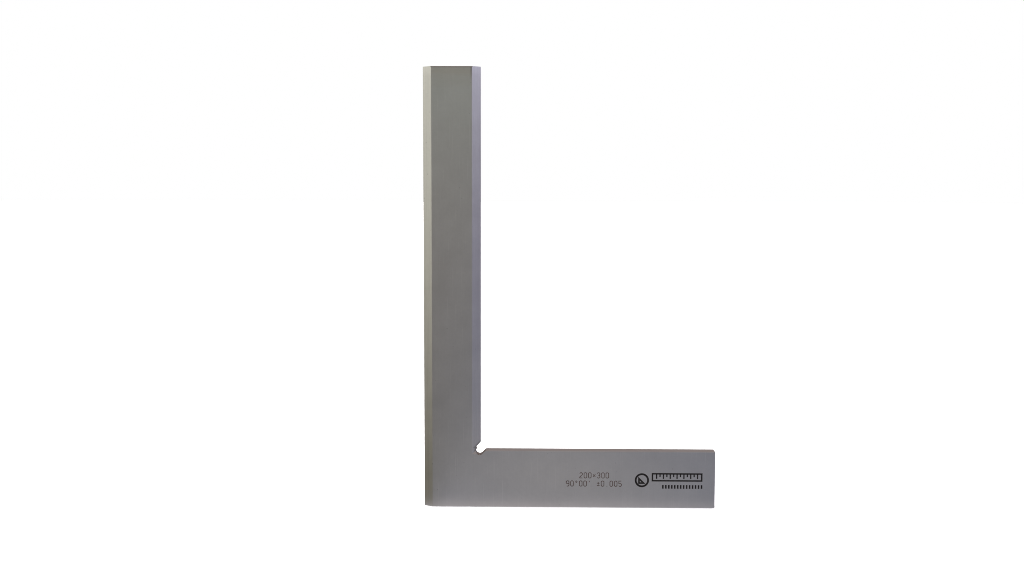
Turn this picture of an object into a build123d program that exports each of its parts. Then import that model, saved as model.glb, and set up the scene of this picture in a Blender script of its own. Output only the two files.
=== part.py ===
from build123d import *
import math
import os

os.makedirs("parts", exist_ok=True)

# A flat knife-edge square: one L-shaped piece of hardened stainless steel, with its
# markings filled in black. It stands on the underside of its beam. X runs along the
# beam from the outer knife edge to the free end, Y through the thickness from the
# marked face to the plain one, and Z up the blade. Lengths in mm, angles in degrees.

# Blade and beam
blade_height = 300.0  # from the underside of the beam to the top of the blade
beam_length = 200.0  # from the outer knife edge to the free end
thickness = 8.0
blade_width = 39.0  # from the outer knife edge to the inner one
beam_height = 39.5

# Knife edges, ground from both faces
bevel_width = 5.85
knife_radius = 0.2
runout_drop = 2.4  # how far the inner bevels run on below the beam's inner face
runout_tilt = 50.0  # tilt of the wall that ends them, from the horizontal

# Relief across the inner corner: a drilled hole, and a slot from it at 45 degrees, flush
# with the hole on the beam's side
relief_hole_radius = 2.5
relief_inset = 0.8  # the hole's centre lies this far behind the corner, both ways
relief_width = 6.3

# Broken edges
end_chamfer = 0.5
edge_break = 0.35

# Markings on the front face, as recesses filled flush
mark_depth = 0.1
text_stroke = 0.5
size_text = "200×300"
size_text_place = (17.05, 22.6)  # centre, as X and Z
tolerance_text = "90°00′ ±0.005"
tolerance_text_place = (16.85, 16.85)
text_height = 3.7
text_pitch = 3.0  # from one character to the next
character_grid = (2, 4)  # columns and rows that each character is drawn on
emblem_place = (49.8, 19.4)
emblem_radius = 4.9
emblem_line = 1.3
glyph_leg = 5.1  # legs of the little set square inside the emblem
glyph_line = 1.15
scale_right = 91.3
scale_top = 24.5
scale_size = (34.8, 5.9)
scale_line = 1.05
tick_count = 13
tick_line = 0.9
tick_lengths = (3.0, 1.7)  # long and short ones, by turns
dash_row_width = 27.6
dash_count = 14
dash_size = (1.1, 2.6)
dash_centre_height = 14.9

# Derived sizes
half_thickness = thickness / 2
outer_knife_x = -beam_length / 2
inner_knife_x = outer_knife_x + blade_width
beam_end_x = outer_knife_x + beam_length
outer_border_x = outer_knife_x + bevel_width
inner_border_x = inner_knife_x - bevel_width
nose_reach = bevel_width - knife_radius
bevel_angle = math.atan2(half_thickness, nose_reach) - math.asin(
    knife_radius / math.hypot(nose_reach, half_thickness)
)
knife_overshoot = half_thickness / math.tan(bevel_angle) - bevel_width
sharp_outer_x = outer_knife_x - knife_overshoot
sharp_inner_x = inner_knife_x + knife_overshoot
runout_floor = beam_height - runout_drop
relief_centre = (inner_knife_x - relief_inset, beam_height - relief_inset)
relief_reach = 2 * relief_width  # far enough to run out of both legs

# The front face, seen from the front: X to the right and Z up.
front_face = Plane(origin=(0, -half_thickness, 0), x_dir=(1, 0, 0), z_dir=(0, -1, 0))

# Single-stroke characters, drawn on the character grid.
strokes = {
    "0": [[(0, 0.6), (0.6, 0), (1.4, 0), (2, 0.6), (2, 3.4), (1.4, 4), (0.6, 4), (0, 3.4), (0, 0.6)]],
    "2": [[(0, 3.3), (0.7, 4), (1.3, 4), (2, 3.3), (2, 2.6), (0, 0.6), (0, 0), (2, 0)]],
    "3": [
        [(0, 3.4), (0.6, 4), (1.4, 4), (2, 3.4), (2, 2.7), (1.4, 2.1), (0.8, 2.1)],
        [(1.4, 2.1), (2, 1.5), (2, 0.6), (1.4, 0), (0.6, 0), (0, 0.6)],
    ],
    "5": [[(1.9, 4), (0.1, 4), (0.1, 2.2), (1.4, 2.2), (2, 1.6), (2, 0.6), (1.4, 0), (0.6, 0), (0, 0.6)]],
    "9": [
        [(2, 2.8), (2, 3.4), (1.4, 4), (0.6, 4), (0, 3.4), (0, 2.4), (0.6, 1.8), (2, 1.8)],
        [(2, 2.8), (2, 0.6), (1.4, 0), (0.4, 0)],
    ],
    "°": [[(0.5, 3.4), (0.7, 2.9), (1.3, 2.9), (1.5, 3.4), (1.3, 3.9), (0.7, 3.9), (0.5, 3.4)]],
    "′": [[(1.1, 4.1), (0.8, 3)]],
    "±": [[(0, 2.3), (2, 2.3)], [(1, 3.3), (1, 1.3)], [(0, 0.5), (2, 0.5)]],
    "×": [[(0.1, 0.9), (1.9, 2.7)], [(0.1, 2.7), (1.9, 0.9)]],
    ".": [[(1, -0.1), (1, 0.4)]],
    " ": [],
}


def draw_text(text, place):
    """Draw a line of text in the current sketch, centred on a place."""
    columns, rows = character_grid
    unit = text_height / rows
    left = place[0] - (text_pitch * (len(text) - 1) + columns * unit) / 2
    bottom = place[1] - text_height / 2
    for index, character in enumerate(text):
        cell_left = left + text_pitch * index
        for stroke in strokes[character]:
            with BuildLine() as path:
                Polyline(*[(cell_left + x * unit, bottom + y * unit) for x, y in stroke])
            trace(path.line, line_width=text_stroke)


with BuildPart() as size_marking:
    with BuildSketch(front_face):
        draw_text(size_text, size_text_place)
    extrude(amount=-mark_depth)

with BuildPart() as tolerance_marking:
    with BuildSketch(front_face):
        draw_text(tolerance_text, tolerance_text_place)
    extrude(amount=-mark_depth)

with BuildPart() as emblem_ring:
    with BuildSketch(front_face):
        with Locations(emblem_place):
            Circle(emblem_radius)
            Circle(emblem_radius - emblem_line, mode=Mode.SUBTRACT)
    extrude(amount=-mark_depth)

with BuildPart() as emblem_glyph:
    glyph_left = emblem_place[0] - glyph_leg / 2
    glyph_bottom = emblem_place[1] - glyph_leg / 2
    with BuildSketch(front_face):
        with BuildLine():
            Polyline(
                (glyph_left, glyph_bottom + glyph_leg),
                (glyph_left, glyph_bottom),
                (glyph_left + glyph_leg, glyph_bottom),
                close=True,
            )
        make_face()
        offset(amount=-glyph_line, kind=Kind.INTERSECTION, mode=Mode.SUBTRACT)
    extrude(amount=-mark_depth)

scale_left = scale_right - scale_size[0]
scale_bottom = scale_top - scale_size[1]
scale_inside = (scale_size[0] - 2 * scale_line, scale_size[1] - 2 * scale_line)

with BuildPart() as scale_frame:
    with BuildSketch(front_face):
        with Locations(((scale_left + scale_right) / 2, (scale_bottom + scale_top) / 2)):
            Rectangle(*scale_size)
            Rectangle(*scale_inside, mode=Mode.SUBTRACT)
    extrude(amount=-mark_depth)

with BuildPart() as scale_ticks:
    tick_pitch = scale_inside[0] / (tick_count + 1)
    with BuildSketch(front_face):
        for tick in range(tick_count):
            tick_length = tick_lengths[tick % 2]
            with Locations((scale_left + scale_line + (tick + 1) * tick_pitch, scale_top - scale_line)):
                Rectangle(tick_line, tick_length, align=(Align.CENTER, Align.MAX))
    extrude(amount=-mark_depth)

with BuildPart() as dash_row:
    dash_pitch = (dash_row_width - dash_size[0]) / (dash_count - 1)
    with BuildSketch(front_face):
        with Locations((scale_right - dash_row_width / 2, dash_centre_height)):
            with GridLocations(dash_pitch, 0, dash_count, 1):
                Rectangle(*dash_size)
    extrude(amount=-mark_depth)

markings = {
    "size_marking": size_marking,
    "tolerance_marking": tolerance_marking,
    "emblem_ring": emblem_ring,
    "emblem_glyph": emblem_glyph,
    "scale_frame": scale_frame,
    "scale_ticks": scale_ticks,
    "dash_row": dash_row,
}

# What the grinding of the inner bevels takes out of the beam, on both faces. The
# wall that ends each bevel rises from the face inwards.
with BuildPart() as bevel_runouts:
    with BuildSketch(Plane.XY.offset(runout_floor)):
        with BuildLine():
            Polyline(
                (inner_border_x, -half_thickness),
                (sharp_inner_x, -half_thickness),
                (sharp_inner_x, 0),
                close=True,
            )
        make_face()
    extrude(amount=runout_drop)
    runout_wall = Plane(
        origin=(inner_border_x, -half_thickness, runout_floor),
        x_dir=(1, 0, 0),
        z_dir=(0, -math.sin(math.radians(runout_tilt)), math.cos(math.radians(runout_tilt))),
    )
    split(bisect_by=runout_wall, keep=Keep.TOP)
    mirror(about=Plane.XZ)


def face_edges():
    """The body's edges that lie on its front or back face."""
    return square_body.edges().filter_by(
        lambda edge: math.isclose(abs(edge.center().Y), half_thickness)
    )


with BuildPart() as square_body:
    # Beam, up to the border of the outer bevels
    with BuildSketch(Plane.XY):
        with Locations(((outer_border_x + beam_end_x) / 2, 0)):
            Rectangle(beam_end_x - outer_border_x, thickness)
    extrude(amount=beam_height)
    add(bevel_runouts.part, mode=Mode.SUBTRACT)

    # Blade, with a knife edge down each side
    with BuildSketch(Plane.XY) as blade_section:
        with BuildLine():
            Polyline(
                (sharp_outer_x, 0),
                (outer_border_x, -half_thickness),
                (inner_border_x, -half_thickness),
                (sharp_inner_x, 0),
                (inner_border_x, half_thickness),
                (outer_border_x, half_thickness),
                close=True,
            )
        make_face()
        sharp_knives = blade_section.vertices().filter_by_position(Axis.Y, -knife_radius, knife_radius)
        fillet(sharp_knives, radius=knife_radius)
    extrude(amount=blade_height)

    # Relief hole and slot
    with BuildSketch(Plane.XZ.offset(-half_thickness)):
        with Locations(Location(relief_centre, 45)):
            Circle(relief_hole_radius)
            with Locations((0, -relief_hole_radius)):
                Rectangle(relief_reach, relief_width, align=(Align.MIN, Align.MIN))
    extrude(amount=thickness, mode=Mode.SUBTRACT)

    # Recesses for the markings
    for marking in markings.values():
        add(marking.part, mode=Mode.SUBTRACT)

    # Broken edges: the blade's top and the beam's free end, then the beam's long edges
    top_edges = face_edges().filter_by_position(Axis.Z, blade_height, blade_height)
    end_edges = square_body.faces().sort_by(Axis.X)[-1].edges()
    chamfer(top_edges + end_edges, length=end_chamfer)
    underside_edges = face_edges().filter_by_position(Axis.Z, 0, 0)
    inner_face_edges = face_edges().filter_by_position(Axis.Z, beam_height, beam_height)
    chamfer(underside_edges + inner_face_edges, length=edge_break)

pieces = {"square_body": square_body} | markings
for name, piece in pieces.items():
    piece.part.label = name
    export_step(piece.part, f"parts/{name}.step")
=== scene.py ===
import math

import bmesh
import bpy
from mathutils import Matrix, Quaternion, Vector


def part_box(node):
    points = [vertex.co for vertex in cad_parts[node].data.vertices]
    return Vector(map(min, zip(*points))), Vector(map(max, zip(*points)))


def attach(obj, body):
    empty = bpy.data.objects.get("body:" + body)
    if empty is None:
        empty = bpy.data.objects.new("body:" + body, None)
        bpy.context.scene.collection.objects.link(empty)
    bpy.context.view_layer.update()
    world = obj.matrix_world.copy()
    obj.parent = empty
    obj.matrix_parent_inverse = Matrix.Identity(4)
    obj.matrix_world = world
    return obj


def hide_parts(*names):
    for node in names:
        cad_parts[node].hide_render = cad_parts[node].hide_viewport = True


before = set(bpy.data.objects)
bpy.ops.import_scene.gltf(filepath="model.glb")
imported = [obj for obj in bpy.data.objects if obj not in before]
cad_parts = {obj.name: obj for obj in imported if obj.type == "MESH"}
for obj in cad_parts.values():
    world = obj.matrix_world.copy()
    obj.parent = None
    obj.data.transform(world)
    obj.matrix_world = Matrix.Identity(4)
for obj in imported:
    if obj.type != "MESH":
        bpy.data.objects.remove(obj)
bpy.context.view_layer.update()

# The square stands on the underside of its beam. X runs along the beam from the blade's
# outer knife edge to the free end, Y from the marked face to the plain one, and Z up the
# blade. Lengths are in metres.
MM = 0.001
BODY = "root"
SQUARE_NODE = "square_body"
low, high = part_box(SQUARE_NODE)
HALF_THICKNESS = (high.y - low.y) / 2

# Where the blade's inner bevel begins, and where the relief at the inner corner is
BLADE_WIDTH = 39.0 * MM
BEAM_HEIGHT = 39.5 * MM
BEVEL_WIDTH = 5.85 * MM
INNER_BORDER = low.x + BLADE_WIDTH - BEVEL_WIDTH
RELIEF_INSET = 0.8 * MM  # the hole's centre lies this far behind the corner, both ways
RELIEF_CENTRE = (low.x + BLADE_WIDTH - RELIEF_INSET, 0.0, low.z + BEAM_HEIGHT - RELIEF_INSET)
RELIEF_RADIUS = 2.5 * MM
RELIEF_WIDTH = 6.3 * MM
RELIEF_TURN = math.radians(-45)


# ---------------------------------------------------------------- camera
SENSOR_WIDTH = 36.0  # this and the lens in mm
LENS = 38.78
CAMERA_PLACE = (-0.0283, -0.7489, 0.2149)
CAMERA_TARGET = (-0.0398, 0.0, 0.1499)
CAMERA_ROLL = math.radians(0.139)


def turn_towards(target, place):
    """The rotation of a camera or a light that looks from one place to another."""
    return (Vector(target) - Vector(place)).to_track_quat("-Z", "Y")


def make_camera():
    """A camera in front of the square, a little above its middle."""
    data = bpy.data.cameras.new("camera")
    data.sensor_width = SENSOR_WIDTH
    data.lens = LENS
    camera = bpy.data.objects.new("camera", data)
    bpy.context.scene.collection.objects.link(camera)
    camera.location = CAMERA_PLACE
    camera.rotation_mode = "QUATERNION"
    roll = Quaternion((0, 0, 1), CAMERA_ROLL)
    camera.rotation_quaternion = turn_towards(CAMERA_TARGET, CAMERA_PLACE) @ roll
    bpy.context.scene.camera = camera


make_camera()


# ---------------------------------------------------------------- shader helpers
class Shader:
    """A material's node tree, with short names for the few steps these materials are made of."""

    def __init__(self, name):
        self.material = bpy.data.materials.new(name)
        self.material.use_nodes = True
        self.tree = self.material.node_tree
        self.surface = self.tree.nodes["Principled BSDF"]
        self.output = self.tree.nodes["Material Output"]

    def node(self, kind, **settings):
        """A new node of a kind, with its settings."""
        made = self.tree.nodes.new(kind)
        for key, value in settings.items():
            setattr(made, key, value)
        return made

    def set(self, target, value):
        """Give a socket a number, a colour or a link."""
        if isinstance(value, bpy.types.NodeSocket):
            self.tree.links.new(value, target)
        elif target.type == "RGBA":
            target.default_value = (*value, 1)
        else:
            target.default_value = value

    def place(self, scale=(1, 1, 1), turn=(0, 0, 0)):
        """A point's place in metres, scaled along each axis and then turned about the origin."""
        coordinates = self.node("ShaderNodeTexCoord")
        mapping = self.node("ShaderNodeMapping")
        mapping.inputs["Scale"].default_value = scale
        mapping.inputs["Rotation"].default_value = turn
        self.set(mapping.inputs["Vector"], coordinates.outputs["Object"])
        return mapping.outputs["Vector"]

    def axis(self, name):
        """A point's place along one axis."""
        split = self.node("ShaderNodeSeparateXYZ")
        self.set(split.inputs[0], self.place())
        return split.outputs[name]

    def noise(self, size, scale=(1, 1, 1), detail=3.0, roughness=0.55, turn=(0, 0, 0)):
        """Smooth noise from 0 to 1, with blotches of about that size in metres."""
        made = self.node("ShaderNodeTexNoise")
        made.inputs["Scale"].default_value = 1 / size
        made.inputs["Detail"].default_value = detail
        made.inputs["Roughness"].default_value = roughness
        self.set(made.inputs["Vector"], self.place(scale, turn))
        return made.outputs["Fac"]

    def ramp(self, value, start, end, at_start=0.0, at_end=1.0):
        """A number that goes from at_start to at_end while a value goes from start to end."""
        made = self.node("ShaderNodeMapRange")
        made.inputs["From Min"].default_value = start
        made.inputs["From Max"].default_value = end
        made.inputs["To Min"].default_value = at_start
        made.inputs["To Max"].default_value = at_end
        self.set(made.inputs["Value"], value)
        return made.outputs["Result"]

    def spread(self, noise, reach):
        """Noise, with the values within a reach of its middle one spread out from 0 to 1."""
        return self.ramp(noise, 0.5 - reach, 0.5 + reach)

    def math(self, operation, first, second=0.0):
        """Two numbers, put together by an operation."""
        made = self.node("ShaderNodeMath", operation=operation)
        self.set(made.inputs[0], first)
        self.set(made.inputs[1], second)
        return made.outputs["Value"]

    def rest(self, factor):
        """What a factor leaves of 1."""
        return self.math("SUBTRACT", 1.0, factor)

    def mix(self, factor, first, second, blend="MIX"):
        """Two colours, mixed by a factor. A Mix node's colours are its sockets 6 and 7."""
        made = self.node("ShaderNodeMix", data_type="RGBA", blend_type=blend)
        self.set(made.inputs[0], factor)
        self.set(made.inputs[6], first)
        self.set(made.inputs[7], second)
        return made.outputs[2]

    def shade(self, colour, factor, at_0, at_1):
        """A colour, multiplied by a number that goes from at_0 to at_1 as a factor goes from 0 to 1."""
        grey = self.node("ShaderNodeCombineColor")
        level = self.ramp(factor, 0, 1, at_0, at_1)
        for channel in grey.inputs:
            self.set(channel, level)
        return self.mix(1.0, colour, grey.outputs["Color"], "MULTIPLY")

    def bump(self, height, depth):
        """Give the surface a fine relief: depth, in metres, is how far a height of 1 stands out."""
        made = self.node("ShaderNodeBump")
        made.inputs["Distance"].default_value = depth
        self.set(made.inputs["Height"], height)
        self.set(self.surface.inputs["Normal"], made.outputs["Normal"])


# ---------------------------------------------------------------- steel
STEEL = (0.56, 0.55, 0.53)
WARM_STEEL = (0.57, 0.54, 0.50)  # lapped measuring faces
# Lighter steel on the broken edges: a painted highlight
HIGHLIGHT_STEEL = (0.66, 0.66, 0.64)  # broken edges
DARK_STEEL = (0.30, 0.26, 0.23)  # milled walls
# Darker steel on the broken edges at the blade's top: a painted shade
SHADED_TOP_STEEL = (0.36, 0.34, 0.29)  # broken edges at the blade's top
WARM_TINT = (0.965, 0.92, 0.88)  # multiplies the steel's colour

# Each pattern's size and tone. The stains, clouds and mottle brighten and darken the steel
# by their tone, and the specks and scratches multiply it. The turns only give each pattern
# its own part of the noise.
STAIN_SIZE = 13 * MM
CLOUD_SIZE = 45 * MM
STAIN_TONE = 0.02
MOTTLE_SIZE = 2.2 * MM
MOTTLE_TONE = 0.015
SPECK_SIZE = 1.6 * MM
SPECK_TURN = (0.4, 0.3, 0.2)
SPECK_TONE = 0.8
SCRATCH_WIDTH = 0.35 * MM
SCRATCH_SCALE = (1, 1, 0.01)
SCRATCH_TURNS = (0.35, 1.15, 2.2)
SCRATCH_TONE = 1.12
ROUGHNESS_RANGE = 0.02

# How much each axis is scaled, so that the noise draws lines along the named one
LINES_ALONG = {"X": (0.012, 1, 1), "Y": (1, 0.05, 1), "Z": (1, 1, 0.012)}


def hairline_scratches(s):
    """Where hairline scratches run up the faces, as a few sets laid over each other."""
    scratches = None
    for turn in SCRATCH_TURNS:
        hairs = s.noise(SCRATCH_WIDTH, SCRATCH_SCALE, detail=1.0, turn=(0, turn, 0))
        hairs = s.ramp(hairs, 0.72, 0.78)
        scratches = s.math("MAXIMUM", scratches, hairs) if scratches else hairs
    return scratches


def steel(name, colour, roughness, lines, pitch, line_tone, line_depth, finish=None):
    """Ground steel: lines along one axis, faint stains, specks and hairline scratches."""
    s = Shader(name)
    stains = s.spread(s.noise(STAIN_SIZE, detail=4.0), 0.14)
    clouds = s.spread(s.noise(CLOUD_SIZE, detail=2.0), 0.14)
    grain = s.spread(s.noise(pitch, LINES_ALONG[lines], detail=5.0, roughness=0.7), 0.2)
    mottle = s.spread(s.noise(MOTTLE_SIZE, detail=3.0, roughness=0.65), 0.18)
    scratches = hairline_scratches(s)
    specks = s.ramp(s.noise(SPECK_SIZE, detail=0.0, turn=SPECK_TURN), 0.84, 0.9)

    tone = s.shade(colour, stains, 1 - STAIN_TONE, 1 + STAIN_TONE)
    tone = s.shade(tone, clouds, 1 - STAIN_TONE, 1 + STAIN_TONE)
    tone = s.shade(tone, grain, 1 - line_tone, 1 + line_tone)
    tone = s.shade(tone, mottle, 1 - MOTTLE_TONE, 1 + MOTTLE_TONE)
    tone = s.shade(tone, scratches, 1.0, SCRATCH_TONE)
    tone = s.shade(tone, specks, 1.0, SPECK_TONE)
    # Some kinds' extra tones add painted shade and painted highlight
    if finish:
        tone = finish(s, tone)
    s.set(s.surface.inputs["Base Color"], tone)

    worn = s.math("ADD", s.math("MULTIPLY", stains, 0.6), s.math("MULTIPLY", grain, 0.4))
    worn = s.ramp(worn, 0, 1, roughness - ROUGHNESS_RANGE, roughness + ROUGHNESS_RANGE)
    s.set(s.surface.inputs["Roughness"], worn)
    s.surface.inputs["Metallic"].default_value = 1.0
    s.bump(s.math("SUBTRACT", grain, s.math("MULTIPLY", scratches, 0.8)), line_depth)
    return s.material


def towards_top(s, start, end):
    """From 0 to 1 up the last of the blade, between two distances from its top."""
    return s.ramp(s.axis("Z"), high.z - start, high.z - end)


def warm_top_and_lip_shade(s, tone):
    """The blade's top: a brownish tint in level streaks, a painted shade along the top edge, and darker
    next to the inner bevel near the top.
    """
    streaks = s.noise(5 * MM, (0.12, 1, 1), detail=3.0)
    streaks = s.ramp(streaks, 0.3, 0.6, 0.35, 1.0)
    amount = s.math("MULTIPLY", towards_top(s, 15 * MM, 4 * MM), streaks)
    tone = s.mix(amount, tone, s.mix(1.0, tone, WARM_TINT, "MULTIPLY"))
    # painted shade along the top edge
    tone = s.shade(tone, towards_top(s, 1.6 * MM, 0.8 * MM), 1.0, 0.9)
    near_border = s.ramp(s.axis("X"), INNER_BORDER - 1.6 * MM, INNER_BORDER - 0.2 * MM)
    corner = s.math("MULTIPLY", near_border, towards_top(s, 10 * MM, 1 * MM))
    return s.shade(tone, corner, 1.0, 0.6)


def distance_from_relief(s):
    """How far a point lies from the outline of the relief's hole and slot, seen from the front."""
    place = s.node("ShaderNodeMapping", vector_type="TEXTURE")
    place.inputs["Location"].default_value = RELIEF_CENTRE
    place.inputs["Rotation"].default_value = (0, RELIEF_TURN, 0)
    s.set(place.inputs["Vector"], s.node("ShaderNodeTexCoord").outputs["Object"])
    split = s.node("ShaderNodeSeparateXYZ")
    s.set(split.inputs[0], place.outputs["Vector"])
    along, across = split.outputs["X"], split.outputs["Z"]

    flat = s.node("ShaderNodeCombineXYZ")
    s.set(flat.inputs["X"], along)
    s.set(flat.inputs["Z"], across)
    radius = s.node("ShaderNodeVectorMath", operation="LENGTH")
    s.set(radius.inputs[0], flat.outputs["Vector"])
    from_hole = s.math("SUBTRACT", radius.outputs["Value"], RELIEF_RADIUS)

    slot_middle = RELIEF_WIDTH / 2 - RELIEF_RADIUS
    from_middle = s.math("ABSOLUTE", s.math("SUBTRACT", across, slot_middle))
    from_sides = s.math("SUBTRACT", from_middle, RELIEF_WIDTH / 2)
    from_slot = s.math("MAXIMUM", from_sides, s.math("MULTIPLY", along, -1.0))
    return s.math("MINIMUM", from_hole, from_slot)


def bevel_top_highlight_and_rim(s, tone):
    """The bevels lighter towards their tops, a painted highlight, and darker in a rim round the relief.
    """
    # painted highlight towards the bevels' tops
    tone = s.shade(tone, towards_top(s, 7 * MM, 2 * MM), 1.0, 1.1)
    rim = s.ramp(distance_from_relief(s), 0.5 * MM, 1.4 * MM, 1, 0)
    return s.shade(tone, rim, 1.0, 0.6)


STEELS = {
    # kind of face: colour, roughness, and its lines' direction, pitch, tone and depth
    "face": (STEEL, 0.34, "Z", 0.5 * MM, 0.012, 0.003 * MM),
    "bevel": (STEEL, 0.40, "Z", 1.3 * MM, 0.06, 0.004 * MM),
    # the crown's darker steel is a painted shade
    "crown": (SHADED_TOP_STEEL, 0.34, "X", 0.5 * MM, 0.04, 0.003 * MM),
    "lapped": (WARM_STEEL, 0.30, "X", 0.4 * MM, 0.02, 0.002 * MM),
    "end": (STEEL, 0.36, "Y", 0.5 * MM, 0.03, 0.004 * MM),
    "milled": (DARK_STEEL, 0.42, "Y", 0.5 * MM, 0.08, 0.01 * MM),
    # the broken edges' lighter steel is a painted highlight
    "broken": (HIGHLIGHT_STEEL, 0.30, "X", 0.5 * MM, 0.05, 0.004 * MM),
}
# Extra tones for two kinds: painted shade on the face's top edge, and a painted highlight at the
# bevels' tops
SPECIAL = {"face": warm_top_and_lip_shade, "bevel": bevel_top_highlight_and_rim}
finishes_and_painted_light = {
    kind: steel(f"{kind}_steel", *values, finish=SPECIAL.get(kind))
    for kind, values in STEELS.items()
}


# ---------------------------------------------------------------- the markings
def mark(name, ink, bare):
    """Dark ink burnt into the steel, a little patchy where bare steel shows through."""
    s = Shader(name)
    patches = s.ramp(s.noise(0.5 * MM, detail=4.0, roughness=0.7), 0.45, 0.75)
    clouds = s.ramp(s.noise(6 * MM, detail=2.0), 0.35, 0.65, 0.4, 1.0)
    shows = s.math("MULTIPLY", s.math("MULTIPLY", patches, clouds), bare)
    s.set(s.surface.inputs["Base Color"], s.mix(shows, ink, STEEL))
    s.set(s.surface.inputs["Metallic"], shows)
    s.set(s.surface.inputs["Roughness"], s.ramp(patches, 0, 1, 0.55, 0.7))
    s.surface.inputs["Specular IOR Level"].default_value = 0.15
    s.bump(patches, 0.01 * MM)
    return s.material


def fill_markings():
    """Brownish filling in the two lines of figures, and black in the wider marks."""
    etched = mark("etched_line", ink=(0.036, 0.019, 0.015), bare=0.3)
    black = mark("black_fill", ink=(0.005, 0.0035, 0.0035), bare=0.06)
    for name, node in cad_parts.items():
        node.data.materials.clear()
        node.data.materials.append(etched if "marking" in name else black)


fill_markings()


# ---------------------------------------------------------------- the square
EDGE_ROUND = 0.08 * MM  # radius that the grinding leaves on the sharp edges
MARK_DEPTH = 0.1 * MM
CROWN_HEIGHT = 1 * MM  # the broken edges this near to the blade's top are its crown
SAME = 0.01 * MM  # closer than this is the same place
WELD = 0.001 * MM  # and closer than this, two of the CAD mesh's corners are one
COPLANAR = math.radians(0.2)  # faces that meet at less than this become one
STRAIGHT = 0.999  # a face's normal with more than this along an axis points along it
SQUARE_TO = 0.01  # and with less than this, it is square to that axis
BEVEL_SLOPE = 0.8  # the bevels' normals have more than this along Y, the knife noses' less
SHARP = math.radians(15)  # edges sharper than this are rounded
SHORTEST = 0.3 * MM  # unless they are shorter than this
NOSE = 0.5 * MM  # or this near to the middle plane, where the knife noses are
CREASE = math.radians(32)  # after that, only edges sharper than this show as edges


def in_recess(face):
    """Whether a face lines a recess under a marking."""
    return any(abs(vert.co.y - (low.y + MARK_DEPTH)) < SAME for vert in face.verts)


def kind_of(face):
    """Which finish a face of the square has, from where it looks and lies. The broken edges get a
    painted highlight, and those at the blade's top a painted shade.
    """
    normal, middle = face.normal, face.calc_center_median()
    if in_recess(face):
        return "milled"
    if abs(normal.y) > STRAIGHT:
        return "face"
    if abs(normal.z) > STRAIGHT:
        return "end" if middle.z > high.z - SAME else "lapped"
    if normal.x > STRAIGHT and middle.x > high.x - SAME:
        return "end"
    if abs(normal.z) < SQUARE_TO and abs(normal.y) > BEVEL_SLOPE:
        return "bevel"
    if abs(normal.y) < SQUARE_TO:
        return "milled"
    # The broken edges at the top get darker steel, a painted shade; the rest get lighter steel, a
    # painted highlight
    if middle.z > high.z - CROWN_HEIGHT:
        return "crown"
    return "broken"


def is_rounded(edge):
    """Whether grinding has rounded an edge."""
    return (
        edge.calc_face_angle(0) > SHARP
        and edge.calc_length() > SHORTEST
        and min(abs(vert.co.y) for vert in edge.verts) > NOSE
        and not any(in_recess(face) for face in edge.link_faces)
    )


def round_edges(made):
    """Round the sharp edges, and keep both faces exactly as far apart as the CAD body's."""
    bmesh.ops.remove_doubles(made, verts=made.verts, dist=WELD)
    bmesh.ops.dissolve_limit(made, angle_limit=COPLANAR, verts=made.verts, edges=made.edges)
    bmesh.ops.bevel(
        made,
        geom=[edge for edge in made.edges if is_rounded(edge)],
        offset=EDGE_ROUND,
        segments=2,
        profile=0.5,
        affect="EDGES",
        clamp_overlap=False,
    )
    for vert in made.verts:
        if HALF_THICKNESS - abs(vert.co.y) < SAME / 2:
            vert.co.y = math.copysign(HALF_THICKNESS, vert.co.y)
    made.normal_update()


def make_square():
    """The CAD body with its edges rounded, and a finish for each kind of face, some with a painted
    highlight and some with a painted shade.
    """
    made = bmesh.new()
    made.from_mesh(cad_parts[SQUARE_NODE].data)
    round_edges(made)
    kinds = list(STEELS)
    for face in made.faces:
        face.material_index = kinds.index(kind_of(face))
        face.smooth = True
    for edge in made.edges:
        edge.smooth = edge.calc_face_angle(0) < CREASE
    mesh = bpy.data.meshes.new("ground_square")
    made.to_mesh(mesh)
    made.free()
    for kind in kinds:
        mesh.materials.append(finishes_and_painted_light[kind])
    square = bpy.data.objects.new("ground_square", mesh)
    bpy.context.scene.collection.objects.link(square)
    weighted = square.modifiers.new("even shading", "WEIGHTED_NORMAL")
    weighted.keep_sharp = True
    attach(square, BODY)
    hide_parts(SQUARE_NODE)


make_square()


# ---------------------------------------------------------------- studio
LIGHT_TARGET = (0, 0, 0.15)  # the softboxes face the square's middle
SOFTBOXES = {
    # name: place, size, radiance
    "left": ((-1.1, -0.45, 0.62), (0.9, 1.0), (0.79, 0.83, 0.72)),
    "right": ((1.1, -0.45, 0.85), (0.9, 0.8), (1.05, 1.13, 1.54)),
    "front": ((-0.1, -1.6, 0.75), (1.2, 0.7), (0.10, 0.20, 0.15)),
    "back_left": ((-1.1, 0.6, 0.72), (0.9, 0.8), (0.57, 0.59, 0.72)),
    "back_right": ((1.1, 0.6, 0.62), (0.9, 1.0), (0.65, 0.69, 0.62)),
}
OVERHEAD_STRENGTH = 5.5
OVERHEAD_ANGLE = math.radians(80)
FLOOR_RADIUS = 30.0
FLOOR_TONE = (0.8, 0.8, 0.8)
WHITE = (1.0, 1.0, 1.0)
ROOM = (0.354, 0.308, 0.311)  # what the steel mirrors where no softbox stands
MIRRORED_FLOOR = {
    # part of the floor: what the steel mirrors there
    "left": (0.178, 0.167, 0.121),
    "left_apart": (0.208, 0.199, 0.184),
    "left_far": (0.53, 0.515, 0.43),
    "right": (0.30, 0.314, 0.38),
    "right_far": (0.22, 0.232, 0.377),
    "near": (0.168, 0.144, 0.096),
    "foot": (0.255, 0.222, 0.206),
}
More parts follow.
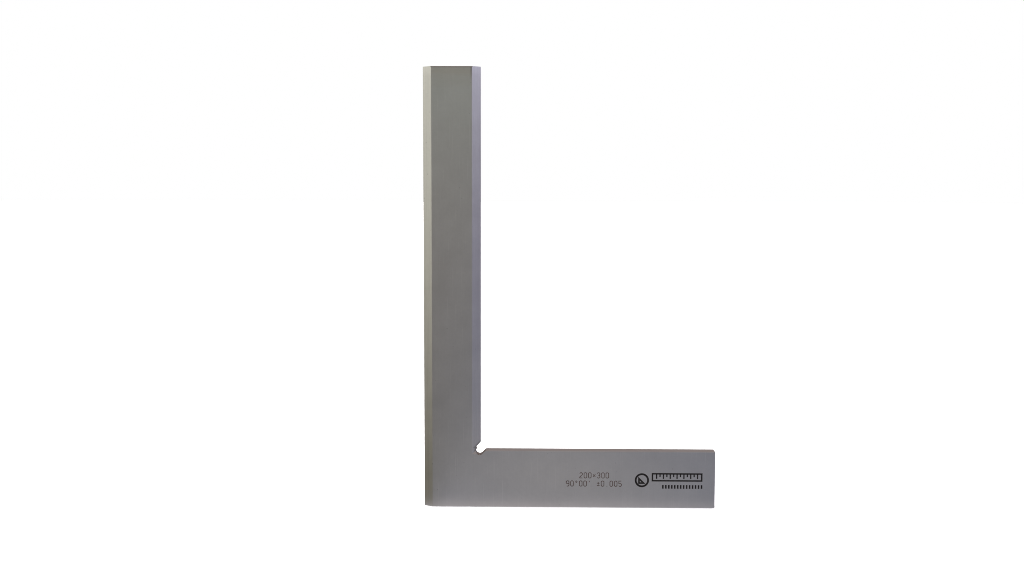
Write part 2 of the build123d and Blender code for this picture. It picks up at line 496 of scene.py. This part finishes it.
# Where those parts fade into each other, or how far they reach
SIDES_BORDER = (-0.115, -0.085)  # along X, below the blade's outer edge
FAR_BORDER = (0.2, 1.2)  # along X, to either side
WEDGE_SLOPE = 0.75
WEDGE_BORDER = (0.02, 0.12)
BEHIND_BORDER = (0.0, 0.06)  # along Y
NEAR_MIDDLE = (-0.012, -0.11, 0)
NEAR_REACH = (0.02, 0.15)
FOOT_REACH = (0.004, 0.03)  # to either side of the square's middle plane
FOOT_STRENGTH = (1.18, 0.68)  # at the beam's two ends


def softbox(name, place, size, radiance):
    """A rectangle of light that faces the middle of the square."""
    data = bpy.data.lights.new(name, "AREA")
    data.shape = "RECTANGLE"
    data.size, data.size_y = size
    data.color = radiance
    data.energy = math.pi * size[0] * size[1]
    light = bpy.data.objects.new(name, data)
    bpy.context.scene.collection.objects.link(light)
    light.location = place
    light.rotation_mode = "QUATERNION"
    light.rotation_quaternion = turn_towards(LIGHT_TARGET, place)


def make_overhead():
    """An even light from above, which makes the floor white."""
    data = bpy.data.lights.new("overhead", "SUN")
    data.energy = OVERHEAD_STRENGTH
    data.angle = OVERHEAD_ANGLE
    light = bpy.data.objects.new("overhead", data)
    bpy.context.scene.collection.objects.link(light)
    light.visible_glossy = False


def floor_parts(s):
    """How strongly each part of the mirrored floor shows at a point."""
    x, y = s.axis("X"), s.axis("Y")
    right = s.ramp(x, *SIDES_BORDER)
    left = s.rest(right)
    far = s.ramp(s.math("ABSOLUTE", x), *FAR_BORDER)
    close = s.rest(far)

    # To the left, a wedge that opens away from the blade, and what lies before or behind it
    slant = s.math("SUBTRACT", y, s.math("MULTIPLY", x, WEDGE_SLOPE))
    before = s.ramp(slant, *WEDGE_BORDER, 1, 0)
    behind = s.ramp(y, *BEHIND_BORDER)
    apart = s.math("ADD", before, behind)
    left_close = s.math("MULTIPLY", left, close)

    # To the right, two brighter parts: round a spot in front of the square, and under the beam
    distance = s.node("ShaderNodeVectorMath", operation="DISTANCE")
    s.set(distance.inputs[0], s.place())
    s.set(distance.inputs[1], NEAR_MIDDLE)
    near = s.ramp(distance.outputs["Value"], *NEAR_REACH, 1, 0)
    foot = s.ramp(s.math("ABSOLUTE", y), *FOOT_REACH, 1, 0)
    foot = s.math("MULTIPLY", foot, s.ramp(x, low.x, high.x, *FOOT_STRENGTH))
    return {
        "left": s.math("MULTIPLY", left_close, s.rest(apart)),
        "left_apart": s.math("MULTIPLY", left_close, apart),
        "left_far": s.math("MULTIPLY", left, far),
        "right": s.math("MULTIPLY", right, close),
        "right_far": s.math("MULTIPLY", right, far),
        "near": s.math("MULTIPLY", right, near),
        "foot": s.math("MULTIPLY", right, foot),
    }


def mirrored_floor(s):
    """The glows of all the floor's parts, added up."""
    mirrored = None
    for name, strength in floor_parts(s).items():
        glow = s.node("ShaderNodeEmission", name=name)
        s.set(glow.inputs["Color"], MIRRORED_FLOOR[name])
        s.set(glow.inputs["Strength"], strength)
        if mirrored:
            both = s.node("ShaderNodeAddShader")
            s.set(both.inputs[0], mirrored)
            s.set(both.inputs[1], glow.outputs[0])
            mirrored = both.outputs[0]
        else:
            mirrored = glow.outputs[0]
    return mirrored


def floor_material():
    """White to the camera, and a dimmer floor for the steel to mirror."""
    s = Shader("pale_floor")
    s.set(s.surface.inputs["Base Color"], FLOOR_TONE)
    s.surface.inputs["Roughness"].default_value = 1.0
    s.surface.inputs["Specular IOR Level"].default_value = 0.0
    either = s.node("ShaderNodeMixShader")
    s.set(either.inputs["Fac"], s.node("ShaderNodeLightPath").outputs["Is Glossy Ray"])
    s.set(either.inputs[1], s.surface.outputs["BSDF"])
    s.set(either.inputs[2], mirrored_floor(s))
    s.set(s.output.inputs["Surface"], either.outputs["Shader"])
    return s.material


def make_floor():
    """A wide round floor under the square."""
    made = bmesh.new()
    bmesh.ops.create_circle(made, cap_ends=True, segments=96, radius=FLOOR_RADIUS)
    mesh = bpy.data.meshes.new("floor")
    made.to_mesh(mesh)
    made.free()
    mesh.materials.append(floor_material())
    floor = bpy.data.objects.new("floor", mesh)
    bpy.context.scene.collection.objects.link(floor)


def make_world():
    """White behind the square, and a dimmer room for the steel to mirror."""
    world = bpy.data.worlds.new("studio")
    bpy.context.scene.world = world
    world.use_nodes = True
    nodes, links = world.node_tree.nodes, world.node_tree.links
    room = nodes["Background"]
    room.inputs["Color"].default_value = (*ROOM, 1)
    backdrop = nodes.new("ShaderNodeBackground")
    backdrop.inputs["Color"].default_value = (*WHITE, 1)
    either = nodes.new("ShaderNodeMixShader")
    light_path = nodes.new("ShaderNodeLightPath")
    links.new(light_path.outputs["Is Camera Ray"], either.inputs["Fac"])
    links.new(room.outputs["Background"], either.inputs[1])
    links.new(backdrop.outputs["Background"], either.inputs[2])
    links.new(either.outputs["Shader"], nodes["World Output"].inputs["Surface"])


make_floor()
make_overhead()
make_world()
for name, values in SOFTBOXES.items():
    softbox(name, *values)
bpy.context.scene.view_settings.view_transform = "Standard"
bpy.context.scene.cycles.filter_width = 1.0  # in pixels: a little crisper than the usual 1.5
